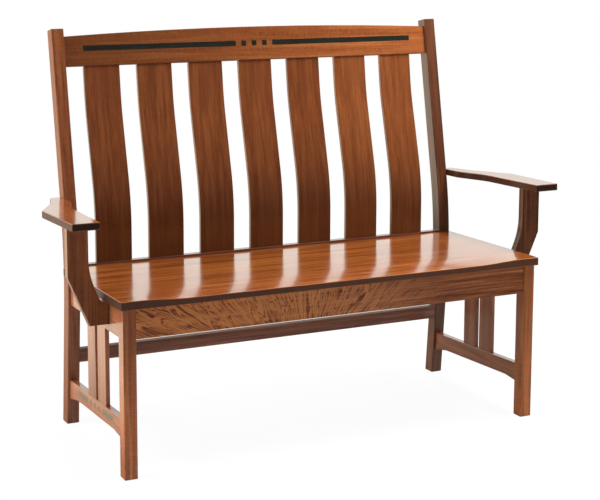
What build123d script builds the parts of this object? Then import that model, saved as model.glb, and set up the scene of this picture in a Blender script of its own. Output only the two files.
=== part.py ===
from build123d import *
from math import cos, radians, sin, tan
from typing import NamedTuple
import os

# A mission settle in stained quartersawn oak: two bent back posts, two front legs, a crest rail
# and seven bent back slats, a plank seat rolled over along its front, flat arms that turn in to
# the back posts, arm supports that crank outwards past the seat, and side frames with an arched
# stretcher and two slats. Ebony-coloured inlay runs along the crest rail and both side
# stretchers.
# Millimetres. X runs along the bench, Y from front to back and Z up. While the pieces are made,
# Y is 0 at the front faces of the front legs, and Z is 0 on the floor.

# Legs and back posts
leg_span = 1219              # over the outer faces of the legs
leg_width = 35               # of all four, along the bench
front_leg_depth = 35
post_depth = 39              # from a back post's front face to its back face
post_height = 1098.5         # front edge of the post tops above the floor
elbow_height = 472           # where the two straight front faces of a post would meet
elbow_y = 439
elbow_radius = 1100          # of the front face
lower_rake = 5               # degrees off upright, foot to the back
upper_rake = 10.8            # degrees off upright, top to the back
leg_arris = 1.5              # chamfer round a leg's edges and its foot

# Seat
seat_height = 460            # its top, in the plane of the front legs' front faces
seat_pitch = 1.15            # degrees that it falls towards the back
seat_thickness = 22
seat_side_overhang = 8       # past the legs' outer faces
seat_front_overhang = 8.5
seat_corner_radius = 4
seat_edge_radius = 2.5       # round its top edge
roll_front_depth = 6         # how far its top is rolled down at the front edge
roll_front_length = 125      # from the front edge back to where the roll begins
roll_rear_depth = 2.5
roll_rear_length = 110
flat_end_inset = 44.5        # from the legs' outer faces in to where its flat ends stop
roll_run_out = 135           # from there on to where it is rolled down in full
roll_step = 20               # between the points that shape the rolled top

# Rails round the seat
rail_thickness = 19          # of aprons and stretchers
front_apron_height = 78.5
front_apron_setback = 2.5    # behind the legs' front faces
side_apron_height = 82.5
back_rail_height = 94.5
back_rail_thickness = 22
back_rail_lip = 3.8          # how far it stands above the seat in front of it
back_rail_setback = 12.5     # behind the post's front face at the elbow
brace_height = 45            # cross brace under the middle of the seat
brace_thickness = 22

# Stretchers
rear_stretcher_height = 38.5
rear_stretcher_bottom = 177.5
rear_stretcher_setback = 3.6
side_stretcher_height = 54
side_stretcher_top = 148     # in the plane of the front legs' front faces
side_stretcher_pitch = 2.35  # degrees that it falls towards the back
side_stretcher_rise = 20     # of the arch along its bottom edge

# Crest rail and back slats
crest_drop = 104             # from the post tops down to the crest rail's bottom edge
crest_height = 83            # at its ends
crest_rise = 13.7            # of its arched top edge
crest_thickness = 22
crest_setback = 8.8          # behind the posts' front faces
slat_count = 7
slat_width = 104
slat_space = 52
slat_thickness = 12
slat_lower_bend_share = 0.293  # where the straight runs of a slat's middle line would meet,
slat_upper_bend_share = 0.794  # as shares of the height between its two rails
slat_lower_radius = 560
slat_upper_radius = 700
slat_top_lean = 7.4          # degrees off upright of the top run
slat_housing = 18            # how far a slat goes into the crest rail and the back rail
slat_arris = 1

# Side slats
side_slat_count = 2
side_slat_width = 63
side_slat_space = 19
side_slat_thickness = 12
side_slat_housing = 12

# Arms: distances outwards from the legs' outer faces, and back from the front legs' front faces
arm_thickness = 19
arm_height = 653             # top of the arm at its front end
arm_pitch = 1.5              # degrees that it falls towards the back
arm_front = 52
arm_front_inner = 37
arm_front_outer = 109
arm_inner_bend = 32          # where the inner edge turns in to the post
arm_inner_bend_y = 300
arm_inner_radius = 160
arm_outer_bend = 115         # the widest corner of the outer edge
arm_outer_bend_y = 292
arm_outer_radius = 14
arm_tongue_y = 410           # from here the inner edge lies along the post
arm_tongue_radius = 120
arm_tongue_bend = 60         # last bend of the outer edge
arm_tongue_bend_y = 402
arm_end_width = 31
arm_end_y = 495
arm_corner_radius = 3
arm_arris = 1.5

# Arm supports, with distances as for the arms
support_thickness = 22
support_front = 126
support_outer = 100
support_outer_bend = 42      # height of the outer corner above the seat's height
support_inner = 44.5
support_inner_bend = 46      # where the inner edge's straight runs would meet, above the same
support_inner_radius = 200
support_neck = 13            # where the inner edge leaves the notch under the seat
support_toe = 44             # outer end of the flat bottom
support_bottom = 88          # its bottom end, below the same
support_seat_gap = 4

# Inlay: a strip, three squares and a strip in a row, flush with the face that holds them
inlay_depth = 3
inlay_squares = 3
crest_inlay_width = 15
crest_inlay_space = 18
crest_inlay_drop = 34.5      # of its middle line, below the crest rail's end height
stretcher_inlay_width = 14
stretcher_inlay_space = 20
stretcher_inlay_strip = 84
stretcher_inlay_drop = 17.5  # of its middle line, below the stretcher's top edge

# Joinery
tenon_length = 24
side_tenon_length = 14       # shorter, because it meets a cross rail's tenon in the leg
brace_tenon_length = 10
tenon_thickness = 10
tenon_shoulder = 8           # above and below a tenon
tenon_end_gap = 2            # between the end of a tenon or slat and its mortise
glue_gap = 0.15              # round a tenon, slat or inlay
fitting_gap = 0.3            # between the seat and what it is fitted round
arris = 1.2                  # chamfer that eases a long edge
block_reach = 70             # of a corner block along each of its two rails
block_height = 26
block_leg_gap = 3
arm_tenon_height = 12        # of the support's tenon in the arm
key_length = 30              # loose tenon between a back post and the arm's tongue
key_width = 12
key_thickness = 8
key_inset = 12               # of its middle from the arm's end
cut_overrun = 5

# Places that follow from the sizes
half_span = leg_span / 2
leg_face = half_span - leg_width
rail_inset = (leg_width - rail_thickness) / 2
rail_face = half_span - rail_inset
rail_back = rail_face - rail_thickness
roll_end = half_span - flat_end_inset
seat_underside = seat_height - seat_thickness
apron_back = front_apron_setback + rail_thickness
foot_y = elbow_y + elbow_height * tan(radians(lower_rake))
post_top_y = elbow_y + (post_height - elbow_height) * tan(radians(upper_rake))
elbow_easing = elbow_radius * (1 / cos(radians((lower_rake + upper_rake) / 2)) - 1)
post_front = elbow_y + elbow_easing
back_rail_front = post_front + back_rail_setback
back_rail_top = seat_height - back_rail_front * tan(radians(seat_pitch)) + back_rail_lip
slat_pitch = slat_width + slat_space
slat_places = [(n - (slat_count - 1) / 2) * slat_pitch for n in range(slat_count)]
side_slat_pitch = side_slat_width + side_slat_space
into_leg = front_leg_depth / 2

# Frames of the pitched and raked pieces
seat_frame = Pos(0, 0, seat_height) * Rot(-seat_pitch, 0, 0)
arm_frame = Pos(half_span, arm_front, arm_height) * Rot(-arm_pitch, 0, 0)
crest_frame = Pos(0, post_top_y, post_height) * Rot(-upper_rake, 0, 0)
leg_frame = Pos(0, foot_y, 0) * Rot(lower_rake, 0, 0)
stretcher_frame = Pos(rail_face, 0, side_stretcher_top) * Rot(-side_stretcher_pitch, 0, 0)
turned_back = Rot(0, 0, 90)
sideways, backwards, upwards = Vector(1, 0, 0), Vector(0, 1, 0), Vector(0, 0, 1)


def board(x0, x1, y0, y1, z0, z1):
    """A straight board between its six faces."""
    return Pos((x0 + x1) / 2, (y0 + y1) / 2, (z0 + z1) / 2) * Box(x1 - x0, y1 - y0, z1 - z0)


def eased(piece, axis, width=arris):
    """The piece with its edges along one axis eased by a small chamfer."""
    return chamfer(piece.edges().filter_by(axis), width)


def rim(piece, across, longer_than=0):
    """The edges round a piece's two faces across an axis, without the shortest ones."""
    edges = [edge for face in piece.faces().filter_by(across) for edge in face.edges()]
    return [edge for edge in edges if edge.length > longer_than]


def outline(points, radii):
    """A closed outline through the points, with one corner radius for each."""
    return make_face(FilletPolyline(*points, radius=radii, close=True))


def front_board(face, thickness):
    """A board sawn to a shape in X and Z, with its front face at Y 0."""
    return extrude(Plane.XZ * face, thickness, dir=backwards)


def beside(corners, shift):
    """The corners of the line that runs beside a bent one in Y and Z, shifted backwards."""
    points = [Vector(*corner) for corner in corners]
    ways = [(b - a).normalized() for a, b in zip(points, points[1:])]
    back = [Vector(way.Y, -way.X) for way in ways]
    pairs = zip(back[:1] + back, back + back[-1:])
    return [p + (m + n) * (shift / (1 + m.dot(n))) for p, (m, n) in zip(points, pairs)]


def bent_bar(corners, bends, front, back, x0, x1):
    """A bar that follows a bent line in Y and Z, with faces at two distances behind it.

    A bend's radius is that of the line, and is negative where the line turns forwards.
    """
    points = beside(corners, front) + beside(corners, back)[::-1]
    front_radii = [0] + [abs(bend - front) for bend in bends] + [0]
    back_radii = [0] + [abs(bend - back) for bend in bends] + [0]
    face = outline(points, front_radii + back_radii[::-1])
    return Pos(x0, 0, 0) * extrude(Plane.YZ * face, x1 - x0, dir=sideways)


def above(frame, depth=0):
    """Everything over a plane that lies at a depth below a frame's origin."""
    reach = leg_span
    return frame * board(-reach, reach, -reach, reach, -depth, reach)


def under_seat(piece):
    """The piece trimmed to the underside of the seat."""
    return piece - above(seat_frame, seat_thickness)


def seat_underside_at(y):
    return seat_underside - y * tan(radians(seat_pitch))


def lower_post_front(height):
    """Front face of a back post below its elbow."""
    return elbow_y + (elbow_height - height) * tan(radians(lower_rake))


side_frame_middle = (side_stretcher_top + seat_underside - side_apron_height) / 2
side_slat_middle = (front_leg_depth + lower_post_front(side_frame_middle)) / 2


def other_side(piece):
    return mirror(piece, about=Plane.YZ)


class Rail(NamedTuple):
    """A rail with a tenon at each end, made in a frame of its own.

    The frame's X runs along the rail, its show face is at Y 0 and its bottom edge at Z 0.
    """
    frame: Location
    start: float
    end: float
    height: float
    thickness: float = rail_thickness
    tenon: float = tenon_length

    def blank(self, past_ends=0, past_top=0):
        start, end = self.start - past_ends, self.end + past_ends
        body = board(start, end, 0, self.thickness, 0, self.height + past_top)
        return self.frame * eased(body, Axis.X)

    def tenons(self, gap=0):
        """The bar inside the rail that comes out as its tenons, or with a gap, the room for it."""
        reach = self.tenon + (tenon_end_gap if gap else 0)
        cheek = (self.thickness - tenon_thickness) / 2 - gap
        bar = board(self.start - reach, self.end + reach, cheek, self.thickness - cheek,
                    tenon_shoulder - gap, self.height - tenon_shoulder + gap)
        return self.frame * bar


crest = Rail(crest_frame * Pos(0, crest_setback, -crest_drop),
             -leg_face, leg_face, crest_height, crest_thickness)
back = Rail(Pos(0, back_rail_front, back_rail_top - back_rail_height),
            -leg_face, leg_face, back_rail_height, back_rail_thickness)
rear_low = Rail(leg_frame * Pos(0, rear_stretcher_setback, rear_stretcher_bottom),
                -leg_face, leg_face, rear_stretcher_height)
front = Rail(Pos(0, front_apron_setback, seat_underside - front_apron_height),
             -leg_face, leg_face, front_apron_height)
side = Rail(seat_frame * Pos(rail_face, 0, -seat_thickness - side_apron_height) * turned_back,
            front_leg_depth, post_front, side_apron_height, tenon=side_tenon_length)
side_low = Rail(stretcher_frame * Pos(0, 0, -side_stretcher_height) * turned_back,
                front_leg_depth, lower_post_front(side_stretcher_top - side_stretcher_height),
                side_stretcher_height)
brace = Rail(seat_frame * Pos(brace_thickness / 2, 0, -seat_thickness - brace_height) * turned_back,
             apron_back, back_rail_front, brace_height, brace_thickness, brace_tenon_length)


def post_bar(gap=0):
    """The right back post before its edges and mortises, or with a gap, the room it takes."""
    foot = (foot_y + cut_overrun * tan(radians(lower_rake)), -cut_overrun)
    corners = [foot, (elbow_y, elbow_height), (post_top_y, post_height)]
    return bent_bar(corners, [elbow_radius], -gap, post_depth + gap,
                    leg_face - gap, half_span + gap)


def front_leg_bar():
    return board(leg_face, half_span, 0, front_leg_depth, 0, seat_height)


def between_legs(piece):
    """A side rail's blank, which runs on into both legs, cut off at its shoulders."""
    return piece - front_leg_bar() - post_bar()


def arm_tenon(gap=0):
    """The tenon on top of the right arm support, or with a gap, its mortise in the arm."""
    rise = arm_tenon_height + (tenon_end_gap if gap else 0)
    cheek = (support_thickness - tenon_thickness) / 2 - gap
    near = support_front - arm_front
    bar = board(support_inner + tenon_shoulder - gap, support_outer - tenon_shoulder + gap,
                near + cheek, near + support_thickness - cheek,
                -2 * arm_thickness, rise - arm_thickness)
    return arm_frame * bar


def arm_key(gap=0):
    """The loose tenon between the right back post and its arm, or with a gap, its mortises."""
    length = key_length + 2 * (tenon_end_gap if gap else 0)
    place = Pos(0, arm_end_y - arm_front - key_inset, -arm_thickness / 2)
    return arm_frame * place * Box(length, key_width + 2 * gap, key_thickness + 2 * gap)


def inlay_row(width, space, strip, gap=0):
    """The five pieces of an inlay row in a face at Y 0, or with a gap, their pockets."""
    pitch = width + space
    last = (inlay_squares + 1) / 2 * pitch + (strip - width) / 2
    squares = [(n - (inlay_squares - 1) / 2) * pitch for n in range(inlay_squares)]
    runs = [(-last, strip)] + [(x, width) for x in squares] + [(last, strip)]
    high = width / 2 + gap
    return [board(x - long / 2 - gap, x + long / 2 + gap, -gap, inlay_depth, -high, high)
            for x, long in runs]


def crest_inlay(gap=0):
    """Strips that end in line with the outer slats, and the squares between them."""
    inner = inlay_squares * crest_inlay_width + (inlay_squares + 1) * crest_inlay_space
    strip = slat_places[-1] + (slat_width - inner) / 2
    middle = crest.frame * Pos(0, 0, crest_height - crest_inlay_drop)
    row = inlay_row(crest_inlay_width, crest_inlay_space, strip, gap)
    return [middle * piece for piece in row]


def stretcher_inlay(gap=0):
    """The same row on the outer face of the right side stretcher."""
    middle = side_low.frame * Pos((side_low.start + side_low.end) / 2, 0,
                                  side_stretcher_height - stretcher_inlay_drop)
    row = inlay_row(stretcher_inlay_width, stretcher_inlay_space, stretcher_inlay_strip, gap)
    return [middle * piece for piece in row]


def slat_bar(x, gap=0):
    """A bent back slat, or with a gap, the room it takes in the rails that house it."""
    ends = slat_housing + (tenon_end_gap if gap else 0)
    base = crest.frame * Pos(0, crest_thickness / 2, 0)
    base_y, base_z = base.position.Y, base.position.Z
    foot_line = back_rail_front + back_rail_thickness / 2
    lean = radians(slat_top_lean)
    clear = base_z - back_rail_top
    upper = (1 - slat_upper_bend_share) * clear
    corners = [(foot_line, back_rail_top - ends),
               (foot_line, back_rail_top + slat_lower_bend_share * clear),
               (base_y - upper * tan(lean), base_z - upper),
               (base_y + ends * sin(lean), base_z + ends * cos(lean))]
    half = slat_thickness / 2 + gap
    wide = slat_width / 2 + gap
    bends = [slat_lower_radius, -slat_upper_radius]
    return bent_bar(corners, bends, -half, half, x - wide, x + wide)


def slat_rooms():
    return [slat_bar(x, glue_gap) for x in slat_places]


def side_slat_bar(n, gap=0):
    """One of the right side slats, or with a gap, the room it takes in the two side rails."""
    low = side_stretcher_top - side_slat_middle * tan(radians(side_stretcher_pitch))
    high = seat_underside_at(side_slat_middle) - side_apron_height
    ends = side_slat_housing + (tenon_end_gap if gap else 0)
    middle = side_slat_middle + (n - (side_slat_count - 1) / 2) * side_slat_pitch
    half, wide = side_slat_thickness / 2 + gap, side_slat_width / 2 + gap
    x = (rail_face + rail_back) / 2
    return board(x - half, x + half, middle - wide, middle + wide, low - ends, high + ends)


def side_slat_rooms():
    return [side_slat_bar(n, glue_gap) for n in range(side_slat_count)]


def back_post():
    """Right back post: sawn to its bend from one plank, mortised for five rails."""
    post = post_bar() - board(0, leg_span, 0, leg_span, -leg_span, 0)
    post = chamfer(post.edges(), leg_arris)
    for rail in (crest, back, rear_low, side, side_low):
        post -= rail.tenons(glue_gap)
    return post - arm_key(glue_gap)


def front_leg():
    """Right front leg: straight, with three mortises and the seat on its top."""
    leg = under_seat(chamfer(front_leg_bar().edges(), leg_arris))
    for rail in (front, side, side_low):
        leg -= rail.tenons(glue_gap)
    return leg


def crest_rail():
    """Crest rail: arched along the top, with pockets for the inlay and mortises for the slats."""
    end, top = crest.end, crest.height
    arch = ThreePointArc((-end, top), (0, top + crest_rise), (end, top))
    sides = Polyline((end, top), (end, 0), (-end, 0), (-end, top))
    piece = front_board(make_face(arch + sides), crest_thickness)
    piece = crest.frame * chamfer(rim(piece, Axis.Y, crest_height), arris) + crest.tenons()
    return piece - slat_rooms() - crest_inlay(glue_gap)


def back_rail():
    """Rail behind the seat, with the mortises for the feet of the slats in its top edge."""
    piece = back.blank() + back.tenons()
    return piece - slat_rooms() - brace.tenons(glue_gap)


def rear_stretcher():
    return rear_low.blank() + rear_low.tenons()


def front_apron():
    piece = under_seat(front.blank(past_top=cut_overrun))
    return piece + front.tenons() - brace.tenons(glue_gap)


def side_apron():
    """Right side apron: pitched with the seat, its rear shoulder cut to the bent post."""
    piece = under_seat(between_legs(side.blank(into_leg, cut_overrun)))
    return piece + side.tenons() - side_slat_rooms()


def side_stretcher():
    """Right side stretcher: arched along its bottom edge, with inlay in its outer face."""
    start, end, high = side_low.start, side_low.end, side_low.height
    near, far = start - into_leg, end + into_leg
    arch = ThreePointArc((start, 0), ((start + end) / 2, side_stretcher_rise), (end, 0))
    rest = Polyline((end, 0), (far, 0), (far, high), (near, high), (near, 0), (start, 0))
    piece = front_board(make_face(arch + rest), rail_thickness)
    piece = chamfer(rim(piece, Axis.Y, side_low.height), arris)
    piece = between_legs(side_low.frame * piece) + side_low.tenons()
    return piece - side_slat_rooms() - stretcher_inlay(glue_gap)


def seat_brace():
    """Brace from the front apron to the back rail, under the middle of the seat."""
    piece = under_seat(brace.blank(cut_overrun, cut_overrun))
    room = board(-leg_span, leg_span, apron_back, back_rail_front, 0, leg_span)
    return (piece & room) + brace.tenons()


def back_slat(x):
    slat = slat_bar(x)
    return chamfer(rim(slat, Axis.X, slat_thickness), slat_arris)


def side_slat(n):
    return eased(side_slat_bar(n), Axis.Z, slat_arris)


def roll_depth(y):
    """How far the seat's top is rolled down in its middle, at a place from front to back."""
    front_share = max(0, 1 - (y + seat_front_overhang) / roll_front_length)
    rear_share = max(0, 1 - (back_rail_front - y) / roll_rear_length)
    return roll_front_depth * front_share ** 2 + roll_rear_depth * rear_share ** 2


def roll_share(x):
    """The share of that depth at a place along the seat: all in its middle, none at its ends."""
    share = min(1, (roll_end - abs(x)) / roll_run_out)
    return share * share * (3 - 2 * share)


def places(start, end, step):
    """Even places from one end to another, about a step apart."""
    count = max(4, round((end - start) / step))
    return [start + (end - start) * n / count for n in range(count + 1)]


def over_rolled_top(near, far):
    """Everything over the smooth rolled surface between the seat's flat ends."""
    points = [[(x, y, -roll_depth(y) * roll_share(x)) for y in places(near, far, roll_step)]
              for x in places(-roll_end, roll_end, roll_step)]
    return extrude(Face.make_surface_from_array_of_points(points), seat_thickness, dir=upwards)


def seat():
    """Seat: one plank, rolled over between its flat ends and notched round the back posts."""
    wide, near, far = half_span + seat_side_overhang, -seat_front_overhang, back_rail_front
    past_front, past_rear = near - cut_overrun, far + 2 * cut_overrun
    plank = board(-wide, wide, near, far + cut_overrun, -seat_thickness, cut_overrun)
    plank = fillet(plank.edges().filter_by(Axis.Z).group_by(Axis.Y)[0], seat_corner_radius)
    plank = chamfer(plank.faces().sort_by(Axis.Z)[0].edges(), arris)
    over_end = board(roll_end, leg_span, past_front, past_rear, 0, leg_span)
    plank = plank - over_rolled_top(past_front, past_rear) - over_end - other_side(over_end)
    tops = [face for face in plank.faces() if round(face.normal_at().Z) == 1]
    edges = [edge for face in tops for edge in face.edges()]
    # An edge that two of the tops share is a seam where they run on smoothly, and isn't rounded
    outer = [edge for edge in edges if edges.count(edge) == 1 and edge.center().Y < far]
    plank = seat_frame * fillet(outer, seat_edge_radius)
    plank -= board(-leg_span, leg_span, back_rail_front - fitting_gap, leg_span, 0, leg_span)
    notch = post_bar(fitting_gap)
    return plank - notch - other_side(notch)


def arm():
    """Right arm: widens to a corner past the support, then narrows to a tongue on the post."""
    points = [(arm_front_inner, 0), (arm_inner_bend, arm_inner_bend_y - arm_front),
              (0, arm_tongue_y - arm_front), (0, arm_end_y - arm_front),
              (arm_end_width, arm_end_y - arm_front),
              (arm_tongue_bend, arm_tongue_bend_y - arm_front),
              (arm_outer_bend, arm_outer_bend_y - arm_front), (arm_front_outer, 0)]
    radii = [arm_corner_radius, arm_inner_radius, arm_tongue_radius, 0, arm_corner_radius,
             arm_tongue_radius, arm_outer_radius, arm_corner_radius]
    piece = extrude(outline(points, radii), arm_thickness, dir=-upwards)
    piece = arm_frame * chamfer(rim(piece, Axis.Z), arm_arris)
    return piece - arm_tenon(glue_gap) - arm_key(glue_gap)


def arm_support():
    """Right arm support: rises from the side apron, clears the seat's edge and cranks outwards."""
    shelf = seat_underside_at(support_front) - support_seat_gap
    inside = -rail_inset - cut_overrun
    low = seat_height - support_bottom
    points = [(support_outer, arm_height), (support_outer, seat_height + support_outer_bend),
              (support_toe, low), (inside, low), (inside, shelf), (support_neck, shelf),
              (support_inner, seat_height + support_inner_bend), (support_inner, arm_height)]
    radii = [0, 0, 0, 0, 0, 0, support_inner_radius, 0]
    piece = front_board(outline(points, radii), support_thickness)
    piece = Pos(half_span, support_front, 0) * chamfer(rim(piece, Axis.Y), arris)
    piece -= board(0, rail_face, 0, leg_span, 0, leg_span)
    return piece - above(arm_frame, arm_thickness) + arm_tenon()


def corner_block(corner_y, leg_y, towards):
    """Right corner block: fills the corner between two rails and clears the leg."""
    near = leg_face - block_leg_gap
    past = leg_y + towards * block_leg_gap
    points = [(rail_back - block_reach, corner_y), (near, corner_y), (near, past),
              (rail_back, past), (rail_back, corner_y + towards * block_reach)]
    low = seat_underside_at(corner_y) - block_height
    shape = outline(points, [0] * len(points))
    return under_seat(Pos(0, 0, low) * extrude(shape, 2 * block_height, dir=upwards))


def front_block():
    return corner_block(apron_back, front_leg_depth, 1)


def rear_block():
    return corner_block(back_rail_front, post_front, -1)


def paired(name, right):
    """A right-hand piece and the mirrored one for the other side."""
    return {f"{name}_right": right, f"{name}_left": other_side(right)}


pieces = {
    "crest_rail": crest_rail(),
    "back_rail": back_rail(),
    "rear_stretcher": rear_stretcher(),
    "front_apron": front_apron(),
    "seat_brace": seat_brace(),
    "seat": seat(),
}
for name, make in (("back_post", back_post), ("front_leg", front_leg),
                   ("side_apron", side_apron), ("side_stretcher", side_stretcher),
                   ("arm", arm), ("arm_support", arm_support), ("arm_key", arm_key),
                   ("front_block", front_block), ("rear_block", rear_block)):
    pieces |= paired(name, make())
for n, x in enumerate(slat_places, 1):
    pieces[f"back_slat_{n}"] = back_slat(x)
for n in range(side_slat_count):
    pieces |= paired(f"side_slat_{n + 1}", side_slat(n))
for n, piece in enumerate(crest_inlay(), 1):
    pieces[f"crest_inlay_{n}"] = piece
for n, piece in enumerate(stretcher_inlay(), 1):
    pieces |= paired(f"stretcher_inlay_{n}", piece)
# The origin goes to the floor, under the middle of the whole piece
bounds = Compound(list(pieces.values())).bounding_box()
to_origin = Pos(0, -bounds.center().Y, -bounds.min.Z)
os.makedirs("parts", exist_ok=True)
for name, piece in pieces.items():
    export_step(to_origin * piece, f"parts/{name}.step")
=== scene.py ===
from math import cos, e, radians, sin
import bpy
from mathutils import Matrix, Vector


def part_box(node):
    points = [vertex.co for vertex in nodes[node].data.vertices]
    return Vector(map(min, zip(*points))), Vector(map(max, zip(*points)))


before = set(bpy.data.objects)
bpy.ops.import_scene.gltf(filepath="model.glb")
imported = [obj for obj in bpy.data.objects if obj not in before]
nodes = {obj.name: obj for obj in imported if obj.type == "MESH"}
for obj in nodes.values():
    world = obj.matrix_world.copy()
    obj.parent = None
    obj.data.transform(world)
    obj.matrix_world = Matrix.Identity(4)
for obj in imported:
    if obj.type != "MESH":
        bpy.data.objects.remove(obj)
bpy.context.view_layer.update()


# Front legs: straight legs of square section, quartersawn oak, stained red-brown under a gloss
# lacquer. The seat lies on their tops, and three rails are tenoned into each. The left one took
# the stain a little lighter, and both are darker towards the seat, as painted shade under it.

mm = 0.001


def linear(code):
    """An sRGB hex colour as linear red, green, blue and alpha."""
    parts = [int(code[i:i + 2], 16) / 255 for i in (1, 3, 5)]
    return [c / 12.92 if c < 0.04045 else ((c + 0.055) / 1.055) ** 2.4 for c in parts] + [1]


def feed(tree, node, inputs):
    """Sets a node's inputs, or links them to an output, or to a node's first output in use."""
    for key, value in inputs.items():
        if isinstance(value, bpy.types.Node):
            value = next(output for output in value.outputs if output.enabled)
        if isinstance(value, bpy.types.NodeSocket):
            tree.links.new(value, node.inputs[key])
        else:
            node.inputs[key].default_value = value


def add(tree, kind, inputs=(), **settings):
    """Adds a node with its settings and its inputs, which come in order or by name."""
    node = tree.nodes.new("ShaderNode" + kind)
    for name, value in settings.items():
        setattr(node, name, value)
    feed(tree, node, inputs if isinstance(inputs, dict) else dict(enumerate(inputs)))
    return node


# A Map Range node takes a value, the two ends of the range it comes from and those of the range
# it goes to. This setting eases it at both ends.
eased = {"interpolation_type": "SMOOTHSTEP"}


def figure(tree, place, across, through, along, detail=2.0, roughness=0.5, wander=0.0):
    """The wood's figure: noise with grains this wide on the face, deep in the board and long."""
    scaled = add(tree, "Mapping", {"Vector": place, "Scale": (1 / across, 1 / through, 1 / along)})
    return add(tree, "TexNoise", {"Vector": scaled, "Scale": 1.0, "Detail": detail,
                                  "Roughness": roughness, "Distortion": wander})


def board_place(tree, grain, face, seed, turn=0.0):
    """Object coordinates as across, through and along, moved on to wood of the board's own."""
    place = add(tree, "TexCoord").outputs["Object"]
    if turn:
        place = add(tree, "Mapping", {"Vector": place, "Rotation": (radians(turn), 0, 0)})
    split = add(tree, "SeparateXYZ", [place]).outputs
    across = ({"X", "Y", "Z"} - {grain, face}).pop()
    joined = add(tree, "CombineXYZ", (split[across], split[face], split[grain]))
    steps_to_next_board = (0.37, 0.73, 1.91)
    away = [seed * step for step in steps_to_next_board]
    return add(tree, "VectorMath", (joined, away), operation="ADD")


def flecks(tree, place, share):
    """Shares of pale ray and of its dark rim on a plain board: short ribbons across the grain.

    The ribbons follow the middle level of a noise whose grains are a fleck long and wide.
    """
    fleck_length, fleck_width = 26 * mm, 4.2 * mm
    ribbons = figure(tree, place, fleck_length, 30 * mm, fleck_width, 1.2, 0.5, 0.9)
    level = add(tree, "Math", (ribbons, 0.5), operation="SUBTRACT")
    ridge = add(tree, "Math", [level], operation="ABSOLUTE")
    pale = add(tree, "MapRange", (ridge, 0.03, 0.08, share, 0.0), **eased)
    inner = add(tree, "MapRange", (ridge, 0.05, 0.09, 0.0, 1.0), **eased)
    outer = add(tree, "MapRange", (ridge, 0.09, 0.17, share, 0.0), **eased)
    return pale, add(tree, "Math", (inner, outer), operation="MULTIPLY")


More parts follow.
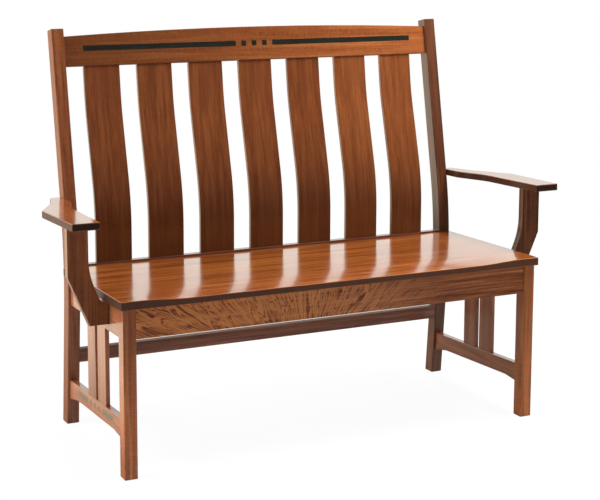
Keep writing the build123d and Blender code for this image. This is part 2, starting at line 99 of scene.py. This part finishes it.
def oak(name, stain, grain="Z", face="Y", seed=0, fleck=0.25, band=16 * mm, turn=0.0,
        edges=None, rays=None, coat=1.0, darker_along=None, rough=0.3):
    """Quartersawn oak, wiped with stain, under rubbed gloss lacquer.

    Stain gives dark, middle and light wood. To the eye it is a deep red-brown with straight
    darker lines along the grain, paler ray flecks across it and a wet shine. A real growth ring
    is about 2 mm wide and a pore 0.2 mm. Both are drawn coarser, so that they show. End grain
    drinks more stain and is darker, and edges can have a duller finish and a colour of their
    own, which on the seat and arms is painted shade. The colour can darken along a board: to a
    share of its light at one place on an axis, from none at another, which on the legs, slats
    and crest is painted shade. Grain and face are the axes along the grain and through the
    face, and turn leans the grain by degrees about X.
    """
    line_width, hair_width, pore_width = 3.6 * mm, 1.3 * mm, 0.9 * mm
    pore_share = 0.4
    edge_roughness, edge_coat = 0.7, 0.3
    lacquer_ior, lacquer_roughness = 1.55, 0.13
    grain_relief = 0.5 * mm
    material = bpy.data.materials.new(name)
    material.use_nodes = True
    tree = material.node_tree
    shader = tree.nodes["Principled BSDF"]
    place = board_place(tree, grain, face, seed, turn)

    bands = figure(tree, place, band, 60 * mm, 35 * band, 3.0, 0.55, 0.8)
    lines = figure(tree, place, line_width, 14 * mm, 160 * mm, 3.0, 0.6, 0.25)
    hairs = figure(tree, place, hair_width, 4 * mm, 40 * mm, 2.0, 0.5)
    # Half of the tone comes from the broad bands, the rest from the growth lines and the hairs
    tone = add(tree, "Math", (hairs, 0.12), operation="MULTIPLY")
    tone = add(tree, "Math", (lines, 0.38, tone), operation="MULTIPLY_ADD")
    tone = add(tree, "Math", (bands, 0.5, tone), operation="MULTIPLY_ADD")
    # The tone keeps near its middle, so the three woods stand close together there
    colour = add(tree, "ValToRGB", [tone])
    stops = colour.color_ramp.elements
    stops.new(0.5)
    for stop, position, code in zip(stops, (0.4, 0.5, 0.6), stain):
        stop.position, stop.color = position, linear(code)

    pale, dark = rays(tree) if rays else flecks(tree, place, fleck)
    pores = figure(tree, place, pore_width, pore_width, 14 * mm, 1.0)
    pores = add(tree, "MapRange", (pores, 0.58, 0.7, 0.0, pore_share), **eased)
    for share, code in ((pale, stain[2]), (dark, stain[0]), (pores, stain[0])):
        colour = add(tree, "Mix", {0: share, 6: colour, 7: linear(code)}, data_type="RGBA")

    if darker_along:
        axis, deep, clear, share = darker_along
        on_board = add(tree, "TexCoord").outputs["Object"]
        along = add(tree, "SeparateXYZ", [on_board]).outputs[axis]
        # This darkening is painted shade on the legs, slats and crest
        light = add(tree, "MapRange", (along, deep, clear, share, 1.0), **eased)
        colour = add(tree, "VectorMath", {0: colour, "Scale": light}, operation="SCALE")

    facing = add(tree, "SeparateXYZ", [add(tree, "TexCoord").outputs["Normal"]]).outputs
    gloss = coat
    if edges:
        rim = add(tree, "Math", [facing[face]], operation="ABSOLUTE")
        rim = add(tree, "MapRange", (rim, 0.55, 0.85, 1.0, 0.0), **eased)
        colour = add(tree, "Mix", {0: rim, 6: colour, 7: linear(edges)}, data_type="RGBA")
        rough = add(tree, "MapRange", (rim, 0.0, 1.0, rough, edge_roughness), **eased)
        gloss = add(tree, "MapRange", (rim, 0.0, 1.0, 1.0, edge_coat), **eased)
    end = add(tree, "Math", [facing[grain]], operation="ABSOLUTE")
    end = add(tree, "MapRange", (end, 0.75, 0.95, 0.0, 1.0), **eased)
    end_stain = [c * 0.5 for c in linear(edges or stain[0])[:3]] + [1]
    colour = add(tree, "Mix", {0: end, 6: colour, 7: end_stain}, data_type="RGBA")

    height = add(tree, "Math", (hairs, 0.5), operation="MULTIPLY")
    height = add(tree, "Math", (lines, 0.5, height), operation="MULTIPLY_ADD")
    bump = add(tree, "Bump", {"Strength": 0.06, "Distance": grain_relief, "Height": height})
    feed(tree, shader, {"Base Color": colour, "Normal": bump, "Roughness": rough,
                        "IOR": lacquer_ior, "Coat Weight": gloss,
                        "Coat Roughness": lacquer_roughness, "Coat IOR": lacquer_ior})
    return material


def finish(name, material):
    """Gives a CAD node this material in place of its plain one."""
    slots = nodes[name].data.materials
    slots.clear()
    slots.append(material)


# The legs darken towards the seat: painted shade under the seat
leg_stains = {"left": ("#743919", "#98532c", "#ad6935"), "right": ("#632f0f", "#874720", "#9c5b29")}
for n, (side, stain) in enumerate(leg_stains.items()):
    finish(f"front_leg_{side}", oak(f"stained_oak_front_leg_{side}", stain, seed=1 + n,
                                    band=10 * mm, darker_along=("Z", 0.46, 0.05, 0.7)))


# Back posts: each is sawn to its bend from one oak plank and is the rear leg as well, so the
# grain runs straight through and out at the bend. Five rails are tenoned into each. The left
# post has duller sides, the right one darker wood.

post_grain_lean = 3.5
for n, (side, stain, edges) in enumerate((
        ("left", ("#532a14", "#764025", "#8b512c"), "#6b3f28"),
        ("right", ("#3c2012", "#56301e", "#673d27"), None))):
    finish(f"back_post_{side}", oak(f"stained_oak_back_post_{side}", stain, seed=3 + n,
                                    turn=post_grain_lean, edges=edges))


# Crest rail: one oak board with an arched top edge, tenoned into the raked posts. Its ray flecks
# stand out, and it is darker towards the left, as painted shade away from the light.

# The darkening towards the left is painted shade
crest_stain = ("#723919", "#8c4a25", "#9f6032")
finish("crest_rail", oak("stained_oak_crest_rail", crest_stain, "X", "Y", 5, 0.4,
                         darker_along=("X", -0.6, 0.6, 0.5)))


# Crest inlay: two strips and three squares of ebony-coloured hardwood, let in flush and
# lacquered with the rail.

def dark_inlay(name, deep, clear):
    """Dense dark hardwood, planed flush and lacquered: nearly even, with fine level streaks."""
    material = bpy.data.materials.new(name)
    material.use_nodes = True
    tree = material.node_tree
    shader = tree.nodes["Principled BSDF"]
    place = add(tree, "TexCoord").outputs["Object"]
    streaks = figure(tree, place, 60 * mm, 60 * mm, 2 * mm)
    colour = add(tree, "Mix", {0: streaks, 6: linear(deep), 7: linear(clear)}, data_type="RGBA")
    feed(tree, shader, {"Base Color": colour, "Roughness": 0.35, "Coat Weight": 1.0,
                        "Coat Roughness": 0.1})
    return material


ebony = dark_inlay("lacquered_ebony_crest_inlay", "#0f110d", "#262822")
for n in range(1, 6):
    finish(f"crest_inlay_{n}", ebony)


# Back slats: thin oak boards bent twice, housed in the crest rail above and in the rail behind
# the seat below. Their stain is darker than the frame's, and they darken towards the seat as
# painted shade. The two on the right are a little lighter, as painted light.

# The right two slats' lighter colours are painted light, and the darkening towards the seat is
# painted shade
slat_stain, lit_right_slat_stain = ("#5c2d15", "#6c381b", "#7b4522"), ("#673517", "#78401f", "#874e28")
for n in range(1, 8):
    stain = slat_stain if n < 6 else lit_right_slat_stain
    finish(f"back_slat_{n}", oak(f"stained_oak_back_slat_{n}", stain, seed=10 + n, fleck=0.15,
                                 band=12 * mm, darker_along=("Z", 0.47, 0.85, 0.5)))


# Rail behind the seat and low rear stretcher: plain oak boards, tenoned into the back posts.
# The stretcher's finish is thinner, and its edges are duller.

rail_stain = ("#45241a", "#5e3527", "#704432")
finish("back_rail", oak("stained_oak_back_rail", rail_stain, "X", "Y", 20, 0.1))
finish("rear_stretcher", oak("stained_oak_rear_stretcher", ("#58301f", "#764632", "#885842"), "X",
                             "Y", 21, 0.05, coat=0.4, edges="#6b4a30"))


# Front apron: the show board of the bench, an oak board tenoned into the front legs. On its left
# and in its middle it is sawn so truly on the quarter that the rays lie in its face, as a fan of
# pale ribbons with thin dark lines. It is darker towards the right.

def apron_rays(tree):
    """Shares of pale ribbon and of thin dark line in the apron's fan.

    The ribbons are the rays of a point below the board. Across them the length is the inverse
    hyperbolic sine of the ratio of the sideways and upward distances from that point, times the
    upward one, which keeps the ribbons as wide at the ends. Along them it is the distance from
    the point. Noise over these lengths is folded up and down, so that its level lines are the
    dark lines and what lies between them the ribbons. To the right the fan dies out.
    """
    low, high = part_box("front_apron")
    fan_x, fan_z, reach = -115 * mm, low.z - 170 * mm, 210 * mm
    ribbon_length, ribbon_width, folds = 130 * mm, 17 * mm, 7.0
    split = add(tree, "SeparateXYZ", [add(tree, "TexCoord").outputs["Object"]]).outputs
    sideways = add(tree, "Math", (split["X"], fan_x), operation="SUBTRACT")
    upwards = add(tree, "Math", (split["Z"], fan_z), operation="SUBTRACT")
    ratio = add(tree, "Math", (sideways, upwards), operation="DIVIDE")
    root = add(tree, "Math", (ratio, ratio, 1.0), operation="MULTIPLY_ADD")
    root = add(tree, "Math", [root], operation="SQRT")
    distance = add(tree, "Math", (upwards, root), operation="MULTIPLY")
    across = add(tree, "Math", (ratio, root), operation="ADD")
    across = add(tree, "Math", (across, e), operation="LOGARITHM")
    across = add(tree, "Math", (across, reach), operation="MULTIPLY")
    fan = add(tree, "CombineXYZ", (distance, split["Y"], across))
    waves = figure(tree, fan, ribbon_length, 30 * mm, ribbon_width, 1.3, 0.45, 1.1)
    folded = add(tree, "Math", (waves, folds), operation="MULTIPLY")
    folded = add(tree, "Math", (folded, 0.5), operation="PINGPONG")
    share = add(tree, "MapRange", (split["X"], 0.05, 0.35, 1.0, 0.12), **eased)
    pale = add(tree, "MapRange", (folded, 0.14, 0.3, 0.0, 0.9), **eased)
    dark = add(tree, "MapRange", (folded, 0.04, 0.1, 0.9, 0.0), **eased)
    return [add(tree, "Math", (share, part), operation="MULTIPLY") for part in (pale, dark)]


apron_stain = ("#542307", "#834119", "#ad6932")
finish("front_apron", oak("stained_oak_front_apron", apron_stain, "X", "Y", 23, rays=apron_rays,
                          darker_along=("X", 0.4, -0.4, 0.65)))


# Seat: one wide oak plank, rolled over along its front and rear between flat ends. It lies on
# the aprons and the legs and is screwed from below. Its edges are drawn darker, as painted shade.

seat_stain = ("#6c330f", "#994c20", "#ba7232")
# The darker edge colour is painted shade
finish("seat", oak("stained_oak_seat", seat_stain, "X", "Z", 30, 0.1, 13 * mm, edges="#482815",
                   rough=0.22))


# Arms: flat oak boards with a tongue along each post, held by the supports' tenons and by a
# loose tenon in the tongue. Their edges are drawn as dark as the seat's, as painted shade.

# The dark edge colour is painted shade, as on the seat
for n, (side, stain) in enumerate((("left", seat_stain),
                                   ("right", ("#6b3516", "#82441e", "#965629")))):
    finish(f"arm_{side}", oak(f"stained_oak_arm_{side}", stain, "Y", "Z", 33 + n, 0.15,
                              edges="#3f2517", rough=0.22))
    finish(f"arm_key_{side}", oak(f"plain_oak_key_{side}", ("#a88a5c", "#c0a172", "#cfb388"),
                                  "X", "Z", 35 + n))


# Arm supports: oak boards sawn to a crank, screwed to the side aprons from inside and tenoned
# up into the arms.

for n, (side, stain) in enumerate((("left", ("#42200c", "#6a3619", "#834d28")),
                                   ("right", ("#3c1e0c", "#532d19", "#663c22")))):
    finish(f"arm_support_{side}", oak(f"stained_oak_arm_support_{side}", stain, seed=37 + n,
                                      band=9 * mm))


# Side frames: an apron above, an arched stretcher with inlay below and two slats between them,
# all oak, tenoned into the legs and a little darker than these. The left stretcher is drawn
# paler, and this dark inlay paler and greener than the crest's, both as painted sheen.

side_stain = ("#5e301a", "#7f482e", "#925b38")
# The left stretcher's paler colours are painted sheen from the light on the left
stretcher_stains_and_sheen = (("#68371f", "#8d5236", "#a36843"), side_stain)
# A dark hardwood inlay, drawn pale and greenish as painted sheen
inlay_with_painted_sheen = dark_inlay("lacquered_stretcher_inlay_painted_sheen", "#4a4230", "#6b6046")
for n, side in enumerate(("left", "right")):
    finish(f"side_apron_{side}", oak(f"stained_oak_side_apron_{side}", side_stain, "Y", "X", 40 + n))
    finish(f"side_stretcher_{side}",
           oak(f"stained_oak_side_stretcher_{side}", stretcher_stains_and_sheen[n], "Y", "X", 42 + n))
    for m in (1, 2):
        finish(f"side_slat_{m}_{side}",
               oak(f"stained_oak_side_slat_{m}_{side}", side_stain, "Z", "X", 44 + n + 2 * m))
    for m in range(1, 6):
        finish(f"stretcher_inlay_{m}_{side}", inlay_with_painted_sheen)


# Corner blocks and brace: oak pieces glued and screwed under the seat, where they don't show,
# and stained and lacquered with the rest.

for n, name in enumerate(("front_block", "rear_block")):
    for m, side in enumerate(("left", "right")):
        finish(f"{name}_{side}", oak(f"stained_oak_{name}_{side}", rail_stain, "X", "Z",
                                     52 + 2 * n + m))
finish("seat_brace", oak("stained_oak_seat_brace", rail_stain, "Y", "X", 57))


# Floor: a wide sheet of matt white paper that keeps a faint shadow under the bench. In the
# shine it is white only where it lies behind the bench and to its left, and dim elsewhere, as
# painted light and shade.

half = 30.0
sheet = bpy.data.meshes.new("floor")
sheet.from_pydata([(x, y, -0.5 * mm) for x, y in ((-half, -half), (half, -half), (half, half),
                                                (-half, half))], [], [(0, 1, 2, 3)])
floor = bpy.data.objects.new("floor", sheet)
bpy.context.scene.collection.objects.link(floor)
paper = bpy.data.materials.new("white_paper")
paper.use_nodes = True
tree = paper.node_tree
tree.nodes.clear()
light_path = add(tree, "LightPath").outputs
is_camera, is_glossy = light_path["Is Camera Ray"], light_path["Is Glossy Ray"]
place = add(tree, "TexCoord").outputs["Object"]
split = add(tree, "SeparateXYZ", [place]).outputs
# Painted light and shade in the shine: the paper glows white behind the bench and to its left,
# faintly behind it on the right, and not at all in front
lit_on_left = add(tree, "MapRange", (split["X"], -1.0, -0.6, 1.0, 0.15), **eased)
further = add(tree, "MapRange", (split["Y"], -0.5, 0.0, 0.0, 1.0), **eased)
painted_dimming = add(tree, "Math", (lit_on_left, further, -1.0), operation="MULTIPLY_ADD")
strength = add(tree, "Math", (is_glossy, painted_dimming, 1.0), operation="MULTIPLY_ADD")
warmth = {0: is_glossy, 6: linear("#ffffff"), 7: linear("#fff7de")}
warmth = add(tree, "Mix", warmth, data_type="RGBA")
glow = add(tree, "Emission", {"Color": warmth, "Strength": strength})
matt = add(tree, "BsdfDiffuse", {"Color": linear("#f2f2f2")})
seen = add(tree, "Math", (is_camera, is_glossy), operation="MAXIMUM")
# The camera sees a little of the shaded paper near the bench and plain white further out
shadow_start, shadow_end, white_share = 0.6, 3.0, 0.94
away = add(tree, "VectorMath", [place], operation="LENGTH")
away = add(tree, "MapRange", (away, shadow_start, shadow_end, white_share, 1.0), **eased)
share = add(tree, "Math", (seen, away), operation="MULTIPLY")
mixed = add(tree, "MixShader", (share, matt, glow))
add(tree, "OutputMaterial", {"Surface": mixed})
floor.data.materials.append(paper)


# Room: white where the camera sees it. In reflections it is white behind the bench and dim in
# front of it, as in a studio. Its own light on the wood is soft and comes mostly from above.

world = bpy.data.worlds.new("studio")
bpy.context.scene.world = world
world.use_nodes = True
tree = world.node_tree
tree.nodes.clear()
light_path = add(tree, "LightPath").outputs
is_camera, is_glossy = light_path["Is Camera Ray"], light_path["Is Glossy Ray"]
way = add(tree, "SeparateXYZ", [add(tree, "TexCoord").outputs["Generated"]]).outputs
behind = add(tree, "MapRange", (way["Y"], -0.1, 0.35, 0.04, 1.0), **eased)
above_floor = add(tree, "MapRange", (way["Z"], 0.0, 0.12, 0.2, 1.0), **eased)
reflected = add(tree, "Math", (behind, above_floor), operation="MULTIPLY")
soft = add(tree, "MapRange", (way["Z"], -0.1, 1.0, 0.06, 0.35), **eased)
level = add(tree, "Mix", {0: is_glossy, 2: soft, 3: reflected})
level = add(tree, "Mix", {0: is_camera, 2: level, 3: 1.0})
warmth = {0: is_glossy, 6: linear("#ffffff"), 7: linear("#fafff9")}
warmth = add(tree, "Mix", warmth, data_type="RGBA")
sky = add(tree, "Background", {"Color": warmth, "Strength": level})
add(tree, "OutputWorld", {"Surface": sky})


# Lamps: a soft one overhead, broad ones on the left and behind, and a weak one near the floor
# in front, as from a reflector. None of them shows in the shine.

def soft_lamp(name, place, target, size, watts):
    """An area lamp that faces a point."""
    data = bpy.data.lights.new(name, "AREA")
    data.shape, data.size, data.energy = "SQUARE", size, watts
    lamp = bpy.data.objects.new(name, data)
    bpy.context.scene.collection.objects.link(lamp)
    away = Vector(place) - Vector(target)
    turn = away.to_track_quat("Z", "Y").to_matrix().to_4x4()
    lamp.matrix_world = Matrix.Translation(place) @ turn
    lamp.visible_glossy = False


soft_lamp("top_lamp", (1.1, -0.45, 2.6), (0.1, 0.2, 0.8), 1.0, 95)
soft_lamp("left_lamp", (-3.4, 0.4, 1.1), (0, 0, 0.4), 1.8, 190)
soft_lamp("low_lamp", (1.0, -1.7, 0.15), (0.1, -0.3, 0.2), 0.8, 14)
soft_lamp("rear_lamp", (0.6, 3.4, 1.9), (0, 0.2, 0.5), 2.0, 90)


# Camera: at the photograph's angle, to the left of the bench and higher than its back. Its
# place, turn and focal length were fitted to the outline of the bench.

image_width, image_height = 600, 500
focal_pixels = 1471.98
centre_x, centre_y = 261.52, 150.0
yaw, pitch = radians(24.805), radians(8.229)
legs_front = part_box("front_leg_left")[0].y
camera_place = (-1.77858, -3.34324 + legs_front, 1.34678)
lens = bpy.data.cameras.new("camera")
lens.sensor_width = 36
lens.lens = focal_pixels * lens.sensor_width / image_width
lens.shift_x = (image_width / 2 - centre_x) / image_width
lens.shift_y = (centre_y - image_height / 2) / image_width
camera = bpy.data.objects.new("camera", lens)
bpy.context.scene.collection.objects.link(camera)
ahead = Vector((sin(yaw) * cos(pitch), cos(yaw) * cos(pitch), -sin(pitch)))
right = Vector((cos(yaw), -sin(yaw), 0))
up = right.cross(ahead)
turn = Matrix((right, up, -ahead)).transposed().to_4x4()
camera.matrix_world = Matrix.Translation(camera_place) @ turn
bpy.context.scene.camera = camera
bpy.context.scene.view_settings.view_transform = "Standard"
